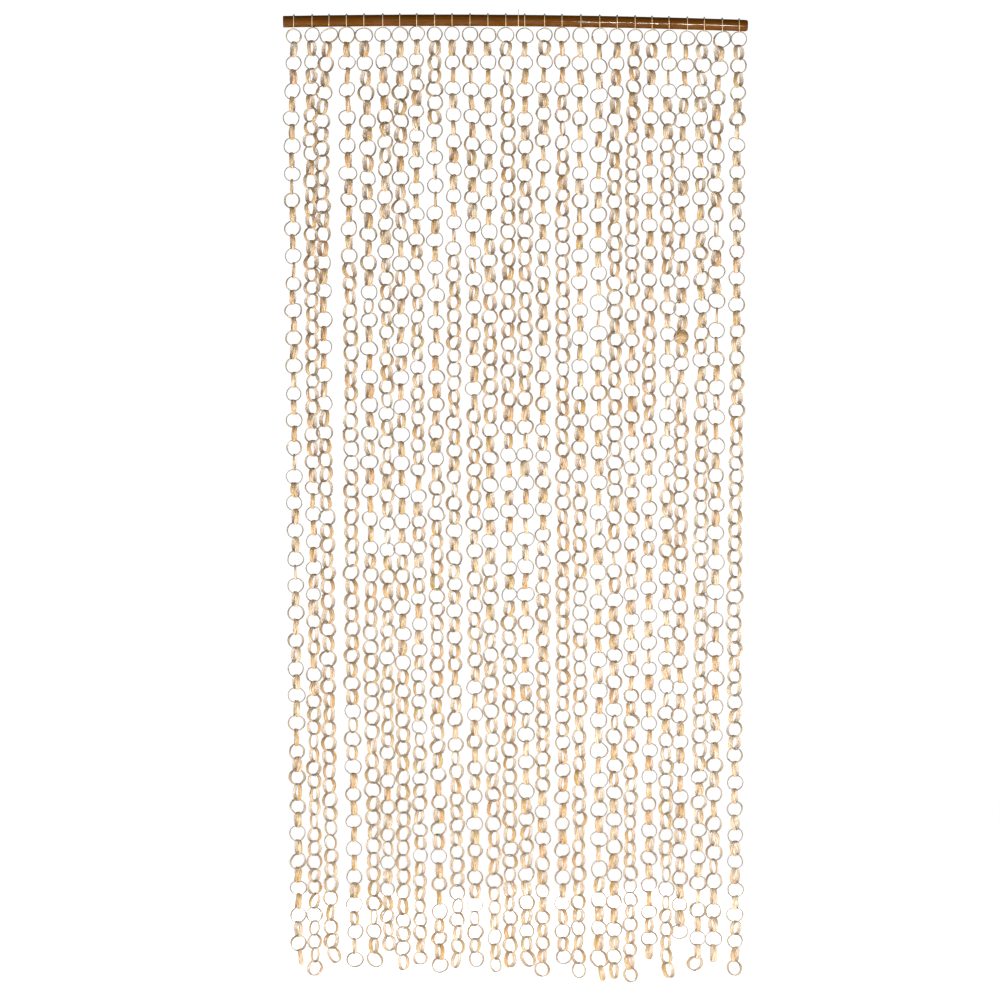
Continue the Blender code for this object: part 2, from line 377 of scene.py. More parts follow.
def build_fibre():
    material, tree, shader = start_material("dry_fibre", specular_ior_level=0.35)
    strip = noted(tree, "strip", "Vector")
    split = add_node(tree, "ShaderNodeSeparateXYZ")
    tree.links.new(strip, split.inputs[0])
    outward = maths(tree, "MULTIPLY", maths(tree, "ABSOLUTE", split.outputs["Y"]), 2 / STRIP_WIDTH)
    seam_shade = add_node(tree, "ShaderNodeMapRange", from_min=0.5, from_max=0.95)
    cut = add_node(tree, "ShaderNodeMapRange", from_min=0.985, from_max=0.998)
    for mask in (seam_shade, cut):
        tree.links.new(outward, mask.inputs["Value"])
    inner_side = maths(tree, "LESS_THAN", split.outputs["Z"], -0.49 * STRIP_THICKNESS)
    grain = place_group(tree, long_grain, vector=strip, along=34.0, across=420.0)
    highlight_grain = place_group(tree, long_grain, vector=strip, along=22.0, across=170.0)

    body = blend_colours(tree, noted(tree, "warmth"), OLIVE_GOLD, ORANGE_BROWN)
    body = blend_colours(tree, noted(tree, "depth"), STRAW, body)
    # Painted highlight: pale near-white streaks along the grain.
    pale = maths(tree, "POWER", highlight_grain.outputs["Streak"], HIGHLIGHT_CURVE)
    body = blend_colours(tree, maths(tree, "MULTIPLY", pale, HIGHLIGHT_SHARE), body, PAINTED_HIGHLIGHT)
    dark = maths(tree, "SUBTRACT", 1.0, grain.outputs["Streak"])
    dark = maths(tree, "MULTIPLY", maths(tree, "POWER", dark, DARK_CURVE), DARK_SHARE)
    body = blend_colours(tree, dark, body, DARK_GRAIN_AND_SHADE)
    # Painted shade, with the strip's own darker edge: the borders darken where the turns overlap.
    line = maths(tree, "MULTIPLY_ADD", dark, SEAM_SHADE_STREAK, SEAM_SHADE_SHARE)
    body = blend_colours(tree, maths(tree, "MULTIPLY", seam_shade.outputs[0], line), body, DARK_GRAIN_AND_SHADE)
    body = blend_colours(tree, maths(tree, "MULTIPLY", inner_side, PITH_SHARE), body, PITH)
    # Painted shade, with the edges' own grey: the cut edges turn dark grey.
    body = blend_colours(tree, maths(tree, "MULTIPLY", cut.outputs[0], CUT_SHADE_SHARE), body, CUT_EDGE_SHADE)
    toned = place_group(tree, uneven_tone, color=body, vector=strip, patches=110.0, amount=0.24)
    tree.links.new(toned.outputs["Color"], shader.inputs["Base Color"])

    rough = maths(tree, "MULTIPLY_ADD", grain.outputs["Streak"], STREAK_POLISH, ROUGHNESS)
    tree.links.new(rough, shader.inputs["Roughness"])
    crown = maths(tree, "MULTIPLY", maths(tree, "POWER", outward, 2.0), CROWN)
    height = maths(tree, "MULTIPLY_ADD", grain.outputs["Height"], GRAIN_RELIEF, crown)
    raise_relief(tree, shader, height, 0.8, FIBRE_RELIEF)
    return material


fibre = build_fibre()
print("material:", fibre.name)

# %% [markdown]
# ## Reading the chains
#
# Each chain solid has a level section at every ring, so its points already say where each ring
# hangs and which way it faces. Reading them keeps the rings in step with the frame, and no place
# is typed twice. A section's long side lies in the plane of its ring, and is kept pointing right.
# The lowest three levels give the ring's outer radius and the drop from one ring to the next.

# %% Where each ring of a chain hangs
LEVEL_GAP = 0.1 * MM
BAND_WIDTH = 12 * MM
LAYER = 0.73 * MM
TURNS = 3

Chain = namedtuple("Chain", "number centres sides inner drop")


def levels_of(coordinates):
    """The distinct levels among some coordinates, lowest first."""
    ordered = np.sort(coordinates)
    breaks = np.flatnonzero(np.diff(ordered) > LEVEL_GAP) + 1
    return np.array([group.mean() for group in np.split(ordered, breaks)])


def read_chain(number):
    """Ring centres, and the level direction in each ring's plane, from a chain's solid."""
    points = np.array([v.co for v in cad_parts[f"strand_{number:02d}"].data.vertices])
    levels = levels_of(points[:, 2])
    foot, last, above = levels[:3]
    outer, drop = last - foot, above - last
    top = levels[-1] - outer
    rings = round((top - last) / drop) + 1
    first = points[points[:, 2] > top - outer - LEVEL_GAP]
    centres, sides = [[*first.mean(axis=0)[:2], top]], [[1.0, 0.0, 0.0]]
    for height in top - drop * np.arange(1, rings):
        section = points[np.abs(points[:, 2] - height) < LEVEL_GAP]
        spread = np.cov(section[:, :2].T)
        side = np.linalg.eigh(spread)[1][:, -1]
        centres.append([*section.mean(axis=0)[:2], height])
        sides.append([*side * math.copysign(1, side[0]), 0.0])
    return Chain(number, np.array(centres), np.array(sides), outer - TURNS * LAYER, drop)


chains = [read_chain(number) for number in range(1, 27)]
ring_count = sum(len(chain.centres) for chain in chains)
print(f"{len(chains)} chains with {ring_count} places for rings")

# %% [markdown]
# ## One ring
#
# On the real ring one strip goes round three times, and no turn lies square on the last: each
# leans a little, so that the turns cross in long flat Vs. A torus or a plain band would lose
# those crossings, which are what one sees from a step away. Here the strip's middle line goes
# round three times while it sways to and fro across the band, a third of a turn out of step each
# time round, and climbs one layer a turn. A few rings are wound straight and are narrow, and
# every ring is a little out of round.

# %% The make of one ring
TURN_STEPS = 20
SWAY_PER_TURN = 1 + 1 / TURNS

# Share of the rings, width of the strip, and how much of the band its sway takes.
STRAIGHT = (0.07, 3.6 * MM, (0.0, 0.2))
LOOSE = (0.14, 4.4 * MM, (0.95, 1.1))
PLAIN = (0.79, STRIP_WIDTH, (0.45, 1.0))

# How far from a true circle: size, oval and its least and most, then waves round the ring.
SIZE_SPREAD = 0.028
OVAL_MEAN, OVAL_SPREAD, OVAL_LIMITS = 0.034, 0.034, (-0.04, 0.11)
WAVE_SPREADS = ((3, 0.021), (5, 0.011))

Ring = namedtuple("Ring", "size strip reach start phase waves")


def draw_ring(rng, by_eye=None):
    """Chooses the small differences of one ring. The last argument, when given, is an oval, as
    (amount, direction).
    """
    kind = rng.random()
    _, strip, share = STRAIGHT if kind < STRAIGHT[0] else LOOSE if kind > 1 - LOOSE[0] else PLAIN
    strip *= rng.uniform(0.94, 1.06)
    reach = (BAND_WIDTH - strip) / 2 * rng.uniform(*share)
    size = rng.normal(1.0, SIZE_SPREAD)
    start, phase = rng.uniform(0, 2 * math.pi, 2)
    oval = np.clip(rng.normal(OVAL_MEAN, OVAL_SPREAD), *OVAL_LIMITS), rng.normal(0, 0.5)
    waves = [(2, *(by_eye or oval))]
    for count, spread in WAVE_SPREADS:
        waves.append((count, rng.normal(0, spread), rng.uniform(0, 2 * math.pi)))
    return Ring(size, strip, reach, start, phase, waves)


def out_of_round(ring, angle):
    """How much wider or narrower than a circle the ring is at an angle."""
    return 1 + sum(amount * np.cos(count * (angle - at)) for count, amount, at in ring.waves)


def sway(ring, angle):
    """How far the strip's middle lies to one side of the band's middle."""
    return ring.reach * np.sin(SWAY_PER_TURN * (angle - ring.start) + ring.phase)


# %% The strip of one ring
def strip_outline(width):
    half, thick = width / 2, STRIP_THICKNESS / 2
    return np.array([(thick, -half), (thick, half), (-thick, half), (-thick, -half)])


def wind_strip(ring, inner, side, facing, centre):
    """Corners of the strip's outline at each station, in the frame of the curtain."""
    turned = np.linspace(0, 2 * math.pi * TURNS, TURNS * TURN_STEPS + 1)
    angle = ring.start + turned
    layer = LAYER * (turned / (2 * math.pi) + 0.5)
    radius = inner * ring.size * out_of_round(ring, angle) + layer
    up = np.cross(facing, side)
    radial = np.cos(angle)[:, None] * side + np.sin(angle)[:, None] * up
    path = centre + radial * radius[:, None] + sway(ring, angle)[:, None] * facing
    return carry(path, radial, strip_outline(ring.strip))


print(f"a strip is {TURNS * TURN_STEPS * 8 + 4} triangles")

# %% [markdown]
# ## Hanging the rings in each other
#
# Two bands that cross at right angles touch at the corners of their crossing, and not at the
# middle, because both are hollow there. How far one ring hangs below another follows from that:
# each hollow's depth at the other's edges. The layers count too, since near an edge the innermost
# turn may be missing. The rings are hung one by one by this rule, and then all are made a trace
# larger or smaller until the chain is as long as its solid. Small errors would still add up over
# twenty rings, so what a ring and its neighbours share of them, a fraction of a millimetre a
# ring, is taken out.

# %% The drop from one ring to the next
SAMPLES = np.linspace(-0.5, 0.5, 7) * BAND_WIDTH
UP, DOWN = math.pi / 2, 3 * math.pi / 2
NEIGHBOURS = 3
HANG_ROUNDS, HANG_EASE = 6, 0.8


def hollow(ring, inner, angle):
    """The ring's inner radius at one angle, at sample places across its band."""
    turned = (angle - ring.start) % (2 * math.pi) + 2 * math.pi * np.arange(TURNS)
    middle = sway(ring, ring.start + turned)
    bare = inner * ring.size * out_of_round(ring, angle)
    radius = bare + LAYER * turned / (2 * math.pi)
    covered = np.abs(SAMPLES[:, None] - middle) <= ring.strip / 2
    return np.where(covered, radius, np.inf).min(axis=1)


def drop_between(upper, lower, inner):
    """How far the lower ring's centre hangs below the upper one's when their bands touch."""
    floor = hollow(upper, inner, DOWN)[:, None]
    roof = hollow(lower, inner, UP)[None, :]
    across = np.sqrt(np.maximum(floor**2 - SAMPLES[None, :] ** 2, 0))
    along = np.sqrt(np.maximum(roof**2 - SAMPLES[:, None] ** 2, 0))
    return (across + along).min()


def hang(chain, rings, knot):
    """The height of each ring's centre, and the inner radius that makes the chain's length true."""
    inner, length = chain.inner, chain.centres[0, 2] - chain.centres[-1, 2]
    for _ in range(HANG_ROUNDS):
        drops = [drop_between(a, b, inner) for a, b in zip(rings, rings[1:])]
        if knot:
            drops[knot - 1] = drops[knot] = chain.drop
        inner *= 1 + HANG_EASE * (length / sum(drops) - 1)
    adrift = chain.centres[0, 2] - np.concatenate([[0], np.cumsum(drops)]) - chain.centres[:, 2]
    padded = np.pad(adrift, NEIGHBOURS, mode="edge")
    window = 2 * NEIGHBOURS + 1
    shared = np.convolve(padded, np.full(window, 1 / window), mode="valid")
    return chain.centres[:, 2] + adrift - shared, inner


# %% [markdown]
# ## The chains
#
# Every chain is one joined mesh, because a thousand and more loose rings would only slow the
# scene down. The chain's tone, and the rings that hang in an oval under the pole, are listed one
# by one. The rest, such as how far each ring is turned out of line, is drawn from a seeded
# generator, so the curtain is the same each time. The last ring of a chain carries nothing, so it
# hangs askew: some are pulled flat and some lean, which is listed too. A ring that leans
# slides along the band above it, as a hoop would.

# %% What sets some chains and rings apart
KNOT_CHAIN, KNOT_LINK = 23, 22
OVAL_TOPS = {
    3: (0.15, 0.4),
    5: (0.11, 0.0),
    6: (0.08, 0.1),
    13: (0.06, 0.0),
    15: (0.06, 0.1),
    22: (0.07, 0.3),
    25: (0.14, 0.6),
}
FOOT_OVALS = {
    2: (0.07, 0.6),
    3: (0.06, -1.0),
    4: (0.09, 0.0),
    5: (0.08, -0.7),
    8: (0.13, 0.1),
    9: (0.08, -0.1),
    12: (0.09, 0.3),
    14: (0.08, -0.8),
    15: (0.05, 0.0),
    16: (0.09, 0.1),
    17: (0.10, -0.8),
    19: (0.07, -0.7),
    22: (0.06, -0.9),
    23: (0.13, 0.0),
    24: (0.12, -0.1),
    26: (0.05, -0.6),
}
FOOT_LEANS = {1: 8, 3: 12, 5: 11, 10: -9, 14: 11, 18: 11, 20: 10, 22: 12}
SIDE_PULL = {3: -6.0, 23: -3.0, 24: -4.0, 25: -6.0}
PULL_FADES = 5
# Depth shifts of some chains in tone; the negative ones pale chains 22, 24 and 26 on the right,
# painted light where the light falls stronger on that side.
CHAIN_DEPTH_AND_PAINTED_LIGHT = {2: 0.1, 3: 0.1, 4: 0.14, 9: 0.12, 13: 0.2, 16: 0.2, 22: -0.1, 24: -0.2, 26: -0.2}
WARM_CHAINS = {2: 0.1, 4: 0.1, 16: 0.3, 20: 0.3, 21: 0.28, 23: 0.12, 24: -0.1, 26: -0.12}


# %% Turn one ring, and lean it
def turned_about(vector, axis, angle):
    """A vector turned about a unit axis."""
    cosine, sine = math.cos(angle), math.sin(angle)
    return vector * cosine + np.cross(axis, vector) * sine + axis * (axis @ vector) * (1 - cosine)


def ring_frame(side, turn, lean):
    """The ring's level direction and its facing, after a turn about the chain and a lean."""
    side = turned_about(side, UPWARD, turn)
    facing = np.cross(side, UPWARD)
    return side, turned_about(facing, side, lean)


# %% Coordinates for the strip, and its place on a flat sheet
STRIP_LENGTH = 0.35
LENGTH_APART = 30.0
SHEET_COLUMNS = 5
COLUMN_FILL, ROW_FILL = 0.98, 0.96

# Where the strip's outside, first edge, inside and second edge begin and end in their row.
SIDE_ENDS = np.array([0.0, 0.44, 0.5, 0.94, 1.0])


def strip_notes(rings, first_length):
    """For each point of each ring: along, across and through the strip, in one width for all."""
    stations = TURNS * TURN_STEPS + 1
    share = np.linspace(0, 1, stations)
    notes = []
    for number in range(rings):
        along = first_length + (number + share) * STRIP_LENGTH
        across = np.array([-0.5, 0.5, 0.5, -0.5]) * STRIP_WIDTH
        depth = np.array([0.5, 0.5, -0.5, -0.5]) * STRIP_THICKNESS
        grid = np.zeros((stations, 4, 3))
        grid[..., 0] = along[:, None]
        grid[..., 1] = across
        grid[..., 2] = depth
        notes.append(grid.reshape(-1, 3))
    return np.concatenate(notes)


def lay_out_sheet(mesh, rings):
    """A UV map that lays all four sides of every turn of every strip flat on one sheet."""
    cells = rings * TURNS
    rows = math.ceil(cells / SHEET_COLUMNS)
    heights = SIDE_ENDS * ROW_FILL
    segment = np.arange(TURNS * TURN_STEPS)
    cell = np.arange(rings)[:, None] * TURNS + segment // TURN_STEPS
    step = (segment % TURN_STEPS) / TURN_STEPS * COLUMN_FILL
    left = (cell % SHEET_COLUMNS + step) / SHEET_COLUMNS
    right = left + COLUMN_FILL / TURN_STEPS / SHEET_COLUMNS
    base = (cell // SHEET_COLUMNS) / rows
    low = base[..., None] + heights[:4] / rows
    high = base[..., None] + heights[1:] / rows
    left, right = (np.broadcast_to(x[..., None], low.shape) for x in (left, right))
    sides = np.stack([left, low, left, high, right, high, right, low], axis=-1)
    sides = sides.reshape(rings, -1, 4, 2)
    corner = np.zeros((rings, 2, 4, 2))
    corner[...] = sides[:, :1, :1]
    layer = mesh.uv_layers.new(name="OFBake")
    layer.data.foreach_set("uv", np.concatenate([sides, corner], axis=1).astype(np.float32).ravel())


# %% Choose one ring's tone and place
# The middle value and the spread of the tones over all rings.
DEPTH, WARMTH = (0.71, 0.25), (0.43, 0.27)
SHIFT_JITTER = 0.6 * MM
LAST_TURN, LAST_LEAN, LAST_SWING = (math.radians(a) for a in (8, 4, 4.5))


def draw_tone(number, rng):
    """How deep and how warm the colour of one ring is."""
    depth = np.clip(rng.normal(*DEPTH) + CHAIN_DEPTH_AND_PAINTED_LIGHT.get(number, 0), 0.1, 1)
    warmth = np.clip(rng.normal(*WARMTH) + WARM_CHAINS.get(number, 0), 0, 1)
    return depth, warmth


def place_near_line(chain, link, height, rng):
    """A ring's centre, near the line of its chain. The top ring stays on it."""
    line = chain.centres[::-1]
    centre = np.array([np.interp(height, line[:, 2], line[:, i]) for i in (0, 1)] + [height])
    shift = rng.normal(0, SHIFT_JITTER, 2)
    if link > 0:
        centre[:2] += shift
        centre[0] += SIDE_PULL.get(chain.number, 0) * MM * math.exp(-link / PULL_FADES)
    return centre


def swing_from(above, gap, chain, inner, rng):
    """Centre, level direction and facing of a chain's last ring, askew in the ring above."""
    turn, lean = rng.normal(0, LAST_TURN), rng.normal(0, LAST_LEAN)
    if chain.number in FOOT_LEANS:
        lean = -math.radians(FOOT_LEANS[chain.number]) * np.sign(chain.sides[-1, 1])
    side, facing = ring_frame(chain.sides[-1], turn, lean)
    swing, up = rng.normal(0, LAST_SWING), np.cross(facing, side)
    contact = above - up * (gap - inner)
    return contact + inner * (math.sin(swing) * side - math.cos(swing) * up), side, facing


# %% Build one chain
TURN_JITTER = math.radians(9)
LEAN_JITTER = math.radians(3.5)


def build_chain(chain):
    rng = np.random.default_rng(700 + chain.number)
    knot = KNOT_LINK if chain.number == KNOT_CHAIN else None
    count = len(chain.centres)
    rings = [draw_ring(rng, OVAL_TOPS.get(chain.number))]
    rings += [draw_ring(rng) for _ in range(count - 2)]
    rings.append(draw_ring(rng, FOOT_OVALS.get(chain.number)))
    heights, inner = hang(chain, rings, knot)
    runs, tones = [], []
    for link, (ring, height) in enumerate(zip(rings, heights)):
        turn, lean = rng.normal(0, TURN_JITTER), rng.normal(0, LEAN_JITTER)
        tone = draw_tone(chain.number, rng)
        centre = place_near_line(chain, link, height, rng)
        side, facing = ring_frame(chain.sides[link], turn, lean)
        if link == count - 1:
            gap = heights[link - 1] - height
            centre, side, facing = swing_from(above, gap, chain, inner, rng)
        above = centre
        if link != knot:
            runs.append(wind_strip(ring, inner, side, facing, centre))
            tones.append(tone)
    mesh = skin(f"chain_{chain.number:02d}", runs)
    depth, warmth = np.repeat(tones, len(mesh.vertices) // len(runs), axis=0).T
    note(mesh, "strip", strip_notes(len(runs), LENGTH_APART * chain.number))
    note(mesh, "depth", depth)
    note(mesh, "warmth", warmth)
    lay_out_sheet(mesh, len(runs))
    name = f"strand_{chain.number:02d}"
    piece = place(mesh.name, mesh, fibre, "fibre", name)
    return piece, heights, inner


built = [build_chain(chain) for chain in chains]
drifts = [np.abs(h - c.centres[:, 2]).max() for c, (_, h, _) in zip(chains, built)]
faces = sum(len(piece.data.polygons) for piece, _, _ in built)
print(f"{2 * faces} triangles of strip; rings lie within {max(drifts) / MM:.1f} mm of their places")

# %% [markdown]
# ## The pole
#
# The pole is a turned rod with a dark brown varnish, a little bowed, square at its left end and
# rounded over at its right. It could be a cylinder bent by a modifier, but its bow is a smooth
# curve that the frame already holds: a parabola through the middle points of its sections. A
# circle is carried along that curve. The ends are the same circle, smaller step by step.

# %% The pole's line, read from its solid
def read_pole():
    points = np.array([v.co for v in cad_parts["rod"].data.vertices])
    places = levels_of(points[:, 0])
    middles = [points[np.abs(points[:, 0] - x) < LEVEL_GAP].mean(axis=0)[2] for x in places]
    radius = np.ptp(points[:, 1]) / 2
    return places[0], places[-1], np.polyfit(places, middles, 2), radius


pole_left, pole_right, pole_bow, pole_radius = read_pole()


def pole_height(x):
    return np.polyval(pole_bow, x)


print(f"the pole runs {pole_right - pole_left:.3f} m and is {2 * pole_radius / MM:.1f} mm thick")

# %% The pole's skin
POLE_SIDES = 48
POLE_STATIONS = 96
SQUARE_EASE = 0.6 * MM
ROUND_EASE = 6 * MM
ROUND_SHARE = 0.3


def pole_profile():
    """Places along the pole, and its radius there, with both ends eased."""
    quarter = np.linspace(0, math.pi / 2, 9)
    left = pole_left + SQUARE_EASE * (1 - np.sin(quarter[::-1]))
    right = pole_right - ROUND_EASE * (1 - np.sin(quarter))
    body = np.linspace(left[-1], right[0], POLE_STATIONS)[1:-1]
    left_radius = pole_radius - SQUARE_EASE * (1 - np.cos(quarter[::-1]))
    right_radius = pole_radius * (1 - ROUND_SHARE * (1 - np.cos(quarter)))
    middle_radius = np.full(len(body), pole_radius)
    places = np.concatenate([left, body, right])
    return places, np.concatenate([left_radius, middle_radius, right_radius])


def pole_mesh():
    places, radius = pole_profile()
    path = np.stack([places, np.zeros(len(places)), pole_height(places)], axis=1)
    angle = np.linspace(0, 2 * math.pi, POLE_SIDES, endpoint=False)
    circle = np.stack([np.cos(angle), np.sin(angle)], axis=1)
    return skin("pole", [carry(path, UPWARD, circle * radius[:, None, None])])


# %% [markdown]
# ## The varnish
#
# Under the varnish the wood is amber brown with long dark grain, and the varnish pools into near
# black along the grain's pores. A clear coat does the gloss: a thin line of the light runs along
# the pole where the coat mirrors it. A stronger coat would mirror the whole white room and wash
# the amber out, so it stays light, and it is thick in pools and thin between, which breaks the
# line. The cut end shows rings instead of long grain. One mask, made from the normal, tells the
# end from the side.

# %% The varnished wood material
POLE_AMBER = (0.180, 0.060, 0.004)
POLE_PORES = (0.050, 0.014, 0.002)
END_BROWN = (0.22, 0.10, 0.03)
PORE_SHARE = 0.6
COAT_BETWEEN, COAT_IN_POOLS = 0.03, 0.55


def build_varnished_wood():
    material, tree, shader = start_material(
        "varnished_wood", coat_roughness=0.09, specular_ior_level=0.0
    )
    where = add_node(tree, "ShaderNodeTexCoord").outputs["Object"]
    grain = place_group(tree, long_grain, vector=where, along=9.0, across=420.0)
    pores = maths(tree, "SUBTRACT", 1.0, grain.outputs["Streak"])
    side = blend_colours(tree, maths(tree, "MULTIPLY", pores, PORE_SHARE), POLE_AMBER, POLE_PORES)
    rings = add_node(tree, "ShaderNodeTexWave", scale=260.0, distortion=3.0, detail=2.0)
    rings.wave_type = "RINGS"
    rings.rings_direction = "X"
    tree.links.new(where, rings.inputs["Vector"])
    end = blend_colours(tree, rings.outputs["Fac"], POLE_PORES, END_BROWN)
    normal = add_node(tree, "ShaderNodeNewGeometry").outputs["Normal"]
    split = add_node(tree, "ShaderNodeSeparateXYZ")
    tree.links.new(normal, split.inputs[0])
    on_end = add_node(tree, "ShaderNodeMapRange", from_min=0.8, from_max=0.95)
    tree.links.new(maths(tree, "ABSOLUTE", split.outputs["X"]), on_end.inputs["Value"])
    body = blend_colours(tree, on_end.outputs[0], side, end)
    toned = place_group(tree, uneven_tone, color=body, vector=where, patches=14.0, amount=0.12)
    tree.links.new(toned.outputs["Color"], shader.inputs["Base Color"])
    rough = maths(tree, "MULTIPLY_ADD", toned.outputs["Patch"], 0.14, 0.3)
    tree.links.new(rough, shader.inputs["Roughness"])
    pools = place_group(tree, long_grain, vector=where, along=32.0, across=60.0)
    coat = maths(tree, "MULTIPLY_ADD", pools.outputs["Streak"], COAT_IN_POOLS, COAT_BETWEEN)
    tree.links.new(coat, shader.inputs["Coat Weight"])
    raise_relief(tree, shader, grain.outputs["Height"], 0.25, 0.1 * MM)
    return material


varnished_wood = build_varnished_wood()
pole = place("pole", pole_mesh(), varnished_wood, "pole_wood", "rod", crease=50)
print("pole:", len(pole.data.polygons), "faces")

# %% [markdown]
# ## The threads
#
# Each chain hangs from a loop of two-ply cotton that goes over the pole and through the top ring,
# with its knot on top of the pole. A thin smooth tube would look like wire. Two plies twisted
# together show as a rope of small bulges, and one outline does it: a rounded figure of eight that
# turns as it is carried along. The loop's line is pulled taut round the pole and under the band,
# as a string round two pegs, and a few rounds of corner cutting soften its bends.

# %% The thread material
CREAM = (0.94, 0.75, 0.44)
# The knots on top of the pole are coloured near black.
KNOT_DARK = (0.12, 0.09, 0.09)


def build_thread():
    material, tree, shader = start_material("cotton_thread", sheen_weight=0.3)
    where = add_node(tree, "ShaderNodeTexCoord").outputs["Object"]
    fuzz = place_group(tree, long_grain, vector=where, along=1500.0, across=1500.0)
    body = blend_colours(tree, noted(tree, "dark_knot"), CREAM, KNOT_DARK)
    toned = place_group(tree, uneven_tone, color=body, vector=where, patches=600.0, amount=0.12)
    tree.links.new(toned.outputs["Color"], shader.inputs["Base Color"])
    rough = maths(tree, "MULTIPLY_ADD", fuzz.outputs["Streak"], 0.2, 0.7)
    tree.links.new(rough, shader.inputs["Roughness"])
    raise_relief(tree, shader, fuzz.outputs["Height"], 0.4, 0.1 * MM)
    return material


thread = build_thread()
print("material:", thread.name)

# %% Smooth a line, and space its stations evenly
def soften(path, closed, rounds=3):
    """Cuts the corners of a line."""
    for _ in range(rounds):
        after = np.roll(path, -1, axis=0) if closed else path[1:]
        before = path if closed else path[:-1]
        cut = np.stack([before * 0.75 + after * 0.25, before * 0.25 + after * 0.75], axis=1)
        cut = cut.reshape(-1, 3)
        path = cut if closed else np.concatenate([path[:1], cut, path[-1:]])
    return path


def space_evenly(path, step, closed):
    """Stations along a line, a step apart."""
    line = np.concatenate([path, path[:1]]) if closed else path
    reach = np.concatenate([[0], np.cumsum(np.linalg.norm(np.diff(line, axis=0), axis=1))])
    stations = max(4, round(reach[-1] / step))
    at = np.linspace(0, reach[-1], stations, endpoint=not closed)
    return np.stack([np.interp(at, reach, line[:, i]) for i in range(3)], axis=1)


# %% A two-ply thread along a line
THREAD_SIDES = 8
PLY_LAY = 3.2 * MM
PLY_WAIST = 0.62
STEPS_PER_LAY = 6


def spin_thread(path, radius, outward, closed=False):
    """The skin of a two-ply thread. Its outline is a figure of eight that turns with the lay."""
    step = PLY_LAY / STEPS_PER_LAY
    path = space_evenly(soften(path, closed), step, closed)
    half_turns = round(2 * len(path) * step / PLY_LAY)
    twist = np.linspace(0, math.pi * half_turns, len(path), endpoint=not closed)
    angle = np.linspace(0, 2 * math.pi, THREAD_SIDES, endpoint=False)
    reach = radius * (PLY_WAIST + (1 - PLY_WAIST) * np.cos(angle) ** 2)
    angle = angle + twist[:, None]
    outline = np.stack([reach * np.cos(angle), reach * np.sin(angle)], axis=-1)
    return carry(path, outward, outline, closed)


# %% The knot and its two cut ends
KNOT_TURNS = 2.5
KNOT_LENGTH = 3.4 * MM
KNOT_STATIONS = 26

# The coil's radius, and the thread's thickness in the coil and in the ends, in thread radii.
KNOT_WRAP, KNOT_PLY, END_PLY = 1.75, 0.8, 0.7
END_BEND = 0.3 * MM


def knot_runs(top, radius, rng):
    """A few turns of thread about a loop where it crosses the pole, and two ends."""
    angle = np.linspace(0, 2 * math.pi * KNOT_TURNS, KNOT_STATIONS)
    wrap = radius * KNOT_WRAP
    along = np.linspace(-0.5, 0.5, KNOT_STATIONS) * KNOT_LENGTH
    coil = np.stack([wrap * np.cos(angle), along, wrap * np.sin(angle)], axis=1)
    runs = [spin_thread(top + coil, radius * KNOT_PLY, BACKWARD)]
    for way in (-1, 1):
        root = top + np.array([0.0, way * 0.4 * KNOT_LENGTH, wrap * 0.5])
        aside, onward, rise = rng.uniform(-1.6, 1.6), rng.uniform(0.6, 1.8), rng.uniform(0.7, 1.5)
        tip = root + np.array([aside, way * onward, rise]) * MM
        bend = (root + tip) / 2 + END_BEND * UPWARD
        runs.append(spin_thread(np.array([root, bend, tip]), radius * END_PLY, RIGHTWARD))
    return runs


# %% Tie one chain to the pole
TIE_RADIUS = 0.8 * MM
CLEAR = 0.15 * MM
OVER_ARC = np.radians(np.linspace(-8, 188, 15))


def thread_mesh(name, loop, knot, knot_darkness):
    """One mesh of a loop and its knot, with how dark the knot is noted."""
    mesh = skin(name, knot, loops=[loop])
    dark_knot = np.zeros(len(mesh.vertices))
    dark_knot[loop.size // 3:] = knot_darkness
    note(mesh, "dark_knot", dark_knot)
    return mesh


def round_pole(x, wrap, arc):
    """Points round the pole at x, at the angles of an arc."""
    middle = pole_height(x)
    return [(x, wrap * math.cos(angle), middle + wrap * math.sin(angle)) for angle in arc]


def taut_loop(x, low, foot):
    """A loop over the pole and down to a flat stretch below it, from y = foot to y = -foot."""
    over = round_pole(x, pole_radius + TIE_RADIUS + CLEAR, OVER_ARC)
    under = [(x, y, low) for y in np.linspace(-foot, foot, 4)]
    return np.concatenate([over, under])


def build_tie(chain, inner):
    rng = np.random.default_rng(400 + chain.number)
    name = f"tie_{chain.number:02d}"
    low_corner, high_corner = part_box(name)
    x = (low_corner.x + high_corner.x) / 2
    low = chain.centres[0, 2] + inner - TIE_RADIUS - CLEAR
    line = taut_loop(x, low, BAND_WIDTH / 2 + TIE_RADIUS)
    loop = spin_thread(line, TIE_RADIUS, RIGHTWARD, closed=True)
    top = np.array([x, 0.0, pole_height(x) + pole_radius + TIE_RADIUS + CLEAR])
    knot = knot_runs(top, TIE_RADIUS, rng)
    mesh = thread_mesh(f"thread_{chain.number:02d}", loop, knot, knot_darkness=1.0)
    return place(mesh.name, mesh, thread, "thread", name, crease=60)


ties = [build_tie(chain, inner) for chain, (_, _, inner) in zip(chains, built)]
print(len(ties), "ties,", sum(2 * len(tie.data.polygons) for tie in ties), "triangles")

# %% [markdown]
# ## The hanging loop
#
# One thicker thread goes under the pole's middle and peaks above it, where a nail or a hook takes
# it. It is pulled taut like the ties, upside down: round the pole below, and to one point above.

# %% The hanging loop
HANGER_RADIUS = 0.9 * MM
UNDER_ARC = np.radians(np.linspace(38, -218, 21))


